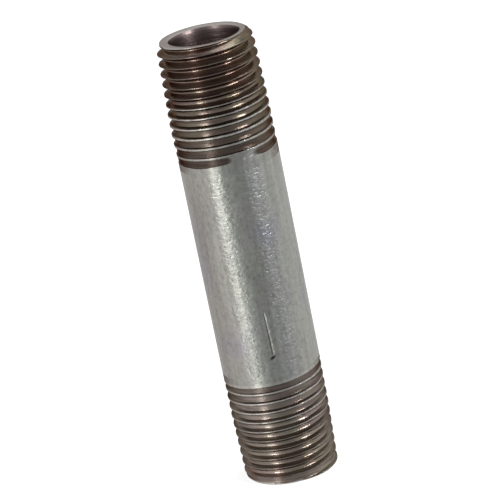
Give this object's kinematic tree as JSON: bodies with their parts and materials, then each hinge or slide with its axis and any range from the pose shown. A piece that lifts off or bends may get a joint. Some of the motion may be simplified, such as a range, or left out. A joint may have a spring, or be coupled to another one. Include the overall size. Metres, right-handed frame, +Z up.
{
  "type": "threaded pipe nipple",
  "caption": "Short galvanised steel pipe nipple, open right through, with a plain zinc-grey middle and a tapered male pipe thread cut on each end.",
  "frame": {"origin": "centre of the lower end face, on the pipe's axis", "axes": "+Z up along the pipe's axis; the part stands on its lower end; +X is to the right when the part is seen from the front"},
  "size_m": [0.0138, 0.0138, 0.0635],
  "materials": {
    "cut_steel": "bare steel, dark brown from cutting oil, with light crest lines",
    "zinc_coat": "matt grey hot-dip zinc, mottled, with fine lines along the pipe"
  },
  "bodies": {
    "root": {"steel_pipe": "cut_steel", "outer_zinc_coat": "zinc_coat", "bore_zinc_coat": "zinc_coat"}
  },
  "joints": []
}
